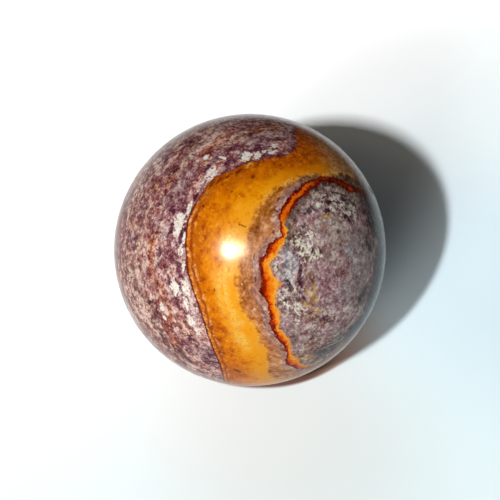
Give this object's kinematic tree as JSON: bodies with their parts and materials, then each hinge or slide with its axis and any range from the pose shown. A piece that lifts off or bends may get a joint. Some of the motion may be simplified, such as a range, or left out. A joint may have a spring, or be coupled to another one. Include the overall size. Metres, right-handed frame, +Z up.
{
  "type": "polished jasper sphere",
  "caption": "Solid polished ball of banded yellow, orange and lilac-grey jasper that rests on a tiny flat; display stone or paperweight.",
  "frame": {"origin": "middle of the tiny flat that the ball rests on, straight below its centre", "axes": "+Z up through the ball's centre, -Y towards the side that the picture shows, +X to its right"},
  "size_m": [0.05, 0.05, 0.0498],
  "materials": {
    "polished_jasper": "high polish, amber yellow band and orange vein through lilac and grey mottled grounds with cream patches"
  },
  "bodies": {
    "root": {"jasper_sphere": "polished_jasper"}
  },
  "joints": []
}
